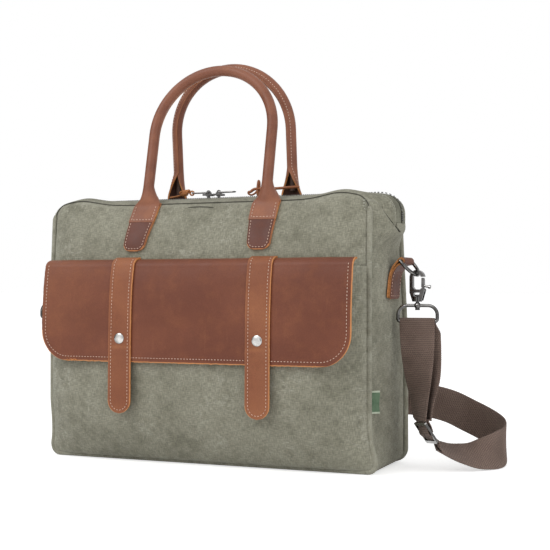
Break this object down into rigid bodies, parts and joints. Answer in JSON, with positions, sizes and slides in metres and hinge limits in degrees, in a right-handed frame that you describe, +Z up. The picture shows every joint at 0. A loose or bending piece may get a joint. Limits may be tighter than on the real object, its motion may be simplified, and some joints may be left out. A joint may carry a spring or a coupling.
{
  "type": "messenger bag",
  "caption": "Canvas messenger bag with a leather flap over a front pocket, rolled leather handles, a zipped top and a clip-on webbing shoulder strap.",
  "frame": {"origin": "middle of the flat base, on the surface that the bag stands on", "axes": "+X to the bag's own right as seen from the front, -Y out of the front, +Z up"},
  "size_m": [0.5622, 0.2166, 0.4568],
  "materials": {
    "canvas": "stone-washed canvas",
    "piping": "canvas-covered cord",
    "zip_tape": "woven tape",
    "zip_teeth": "moulded coil",
    "lining": "plain lining cloth",
    "board": "stiff sheet",
    "foam": "covered foam",
    "metal": "brushed gunmetal nickel",
    "spring_steel": "bright wire",
    "tag": "woven ribbon",
    "leather": "waxed full-grain, raw edges",
    "dark_leather": "waxed full-grain",
    "cord_core": "cotton rope",
    "webbing": "ribbed webbing"
  },
  "bodies": {
    "bag": {"front_panel": "canvas", "back_panel": "canvas", "side_panel_left": "canvas", "side_panel_right": "canvas", "bottom_panel": "canvas", "gusset_front": "canvas", "gusset_back": "canvas", "zip_end_left": "canvas", "zip_end_right": "canvas", "zip_tape_front": "zip_tape", "zip_tape_back": "zip_tape", "zip_teeth_front": "zip_teeth", "zip_teeth_back": "zip_teeth", "piping_front": "piping", "piping_back": "piping", "lining": "lining", "base_board": "board", "laptop_divider": "lining", "back_padding": "foam", "front_pocket": "canvas", "snap_studs": "metal", "seam_tag": "tag", "side_tab_left": "leather", "side_tab_right": "leather", "handle_tabs_front": "leather", "handle_tabs_back": "leather", "tab_patches_front": "dark_leather", "tab_patches_back": "dark_leather", "strap_drop_low": "webbing", "strap_run": "webbing", "tri_glide": "metal"},
    "flap": {"flap": "leather", "closure_strap_left": "leather", "closure_strap_right": "leather", "snap_caps": "metal", "snap_sockets": "metal"},
    "handle_front": {"grip_front": "leather", "grip_core_front": "cord_core"},
    "handle_back": {"grip_back": "leather", "grip_core_back": "cord_core"},
    "slider_left": {"slider_left": "metal"},
    "slider_right": {"slider_right": "metal"},
    "pull_left": {"pull_left": "metal", "lace_left": "leather"},
    "pull_right": {"pull_right": "metal", "lace_right": "leather"},
    "ring_left": {"ring_left": "metal"},
    "ring_right": {"ring_right": "metal"},
    "hook_left": {"hook_left": "metal", "hook_spring_left": "spring_steel"},
    "hook_right": {"hook_right": "metal", "hook_spring_right": "spring_steel"},
    "gate_left": {"gate_left": "metal"},
    "gate_right": {"gate_right": "metal"},
    "loop_left": {"loop_left": "metal", "strap_end_left": "webbing"},
    "loop_right": {"loop_right": "metal", "strap_drop_top": "webbing"}
  },
  "joints": [
    {"name": "flap_hinge", "type": "hinge", "parent": "bag", "child": "flap", "pos_m": [0, -0.07422, 0.226], "axis": [-1, 0, 0], "range_deg": [0, 85]},
    {"name": "handle_front_fold", "type": "hinge", "parent": "bag", "child": "handle_front", "pos_m": [0, -0.0505, 0.2935], "axis": [-1, 0, 0], "range_deg": [-120, 3]},
    {"name": "handle_back_fold", "type": "hinge", "parent": "bag", "child": "handle_back", "pos_m": [0, 0.0325, 0.2935], "axis": [-1, 0, 0], "range_deg": [-3, 120]},
    {"name": "zip_left_slide", "type": "slide", "parent": "bag", "child": "slider_left", "axis": [1, 0, 0], "range_m": [-0.14, 0]},
    {"name": "zip_right_slide", "type": "slide", "parent": "bag", "child": "slider_right", "axis": [1, 0, 0], "range_m": [0, 0.155]},
    {"name": "pull_left_swing", "type": "hinge", "parent": "slider_left", "child": "pull_left", "pos_m": [-0.0155, -0.009, 0.3049], "axis": [0, 1, 0], "range_deg": [0, 150]},
    {"name": "pull_right_swing", "type": "hinge", "parent": "slider_right", "child": "pull_right", "pos_m": [-0.0025, -0.009, 0.3049], "axis": [0, -1, 0], "range_deg": [0, 150]},
    {"name": "ring_left_swing", "type": "hinge", "parent": "bag", "child": "ring_left", "pos_m": [-0.21443, 0.00356, 0.224], "axis": [-0.0993, 0.9951, 0], "range_deg": [0, 60]},
    {"name": "hook_left_swing", "type": "hinge", "parent": "ring_left", "child": "hook_left", "pos_m": [-0.22748, 0.00226, 0.20891], "axis": [-0.0993, 0.9951, 0], "range_deg": [-2, 40]},
    {"name": "loop_left_swivel", "type": "hinge", "parent": "hook_left", "child": "loop_left", "pos_m": [-0.22748, 0.00226, 0.17631], "axis": [0, 0, 1], "range_deg": [-75, 75]},
    {"name": "gate_left_trigger", "type": "hinge", "parent": "hook_left", "child": "gate_left", "pos_m": [-0.23385, 0.00162, 0.19281], "axis": [-0.0993, 0.9951, 0], "range_deg": [0, 25], "stiffness_Nm_per_rad": 0.02, "springref_deg": -17.19},
    {"name": "ring_right_swing", "type": "hinge", "parent": "bag", "child": "ring_right", "pos_m": [0.21443, 0.00356, 0.224], "axis": [-0.0993, -0.9951, 0], "range_deg": [0, 60]},
    {"name": "hook_right_swing", "type": "hinge", "parent": "ring_right", "child": "hook_right", "pos_m": [0.22748, 0.00226, 0.20891], "axis": [-0.0993, -0.9951, 0], "range_deg": [-2, 40]},
    {"name": "loop_right_swivel", "type": "hinge", "parent": "hook_right", "child": "loop_right", "pos_m": [0.22748, 0.00226, 0.17631], "axis": [0, 0, 1], "range_deg": [-75, 75]},
    {"name": "gate_right_trigger", "type": "hinge", "parent": "hook_right", "child": "gate_right", "pos_m": [0.23385, 0.00162, 0.19281], "axis": [-0.0993, -0.9951, 0], "range_deg": [0, 25], "stiffness_Nm_per_rad": 0.02, "springref_deg": -17.19}
  ]
}
